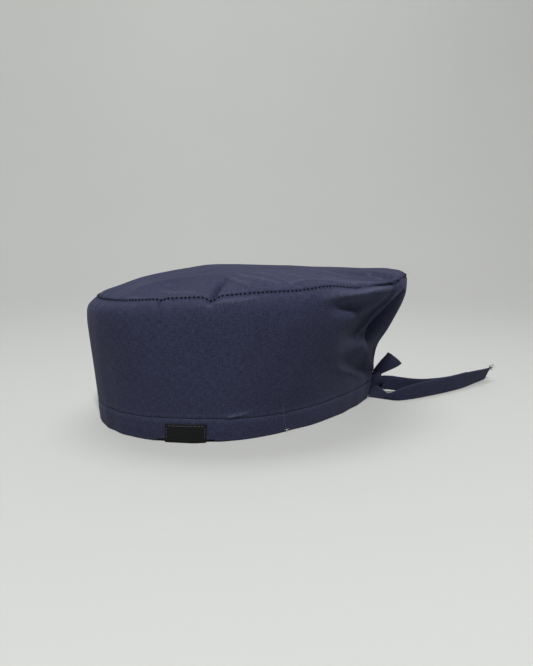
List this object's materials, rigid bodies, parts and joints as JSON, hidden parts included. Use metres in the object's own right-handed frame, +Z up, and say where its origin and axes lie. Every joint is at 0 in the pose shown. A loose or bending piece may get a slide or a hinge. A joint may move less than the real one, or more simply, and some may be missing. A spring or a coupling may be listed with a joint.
{
  "type": "scrub cap",
  "caption": "Tie-back cloth scrub cap: a shallow crown panel on a tall side band drawn in at the nape, with a stitched hem casing, a small woven label and knotted tape ties.",
  "frame": {"origin": "on the surface that the cap stands on, below the middle of the cap's own box without its ties", "axes": "+Z up from the hem to the crown, +Y from the forehead to the nape, +X to the wearer's left"},
  "size_m": [0.172, 0.3356, 0.1044],
  "materials": {
    "navy_cotton": "plain-woven navy cotton poplin, matt with a faint sheen",
    "navy_tape": "folded and stitched navy cotton tape, matt",
    "woven_label": "black woven polyester label, fine ribs"
  },
  "bodies": {
    "root": {"crown_panel": "navy_cotton", "side_band": "navy_cotton", "hem_casing": "navy_cotton", "hem_label": "woven_label", "tie_knot": "navy_tape", "tie_loop": "navy_tape", "tie_tail_left": "navy_tape", "tie_tail_right": "navy_tape"}
  },
  "joints": []
}
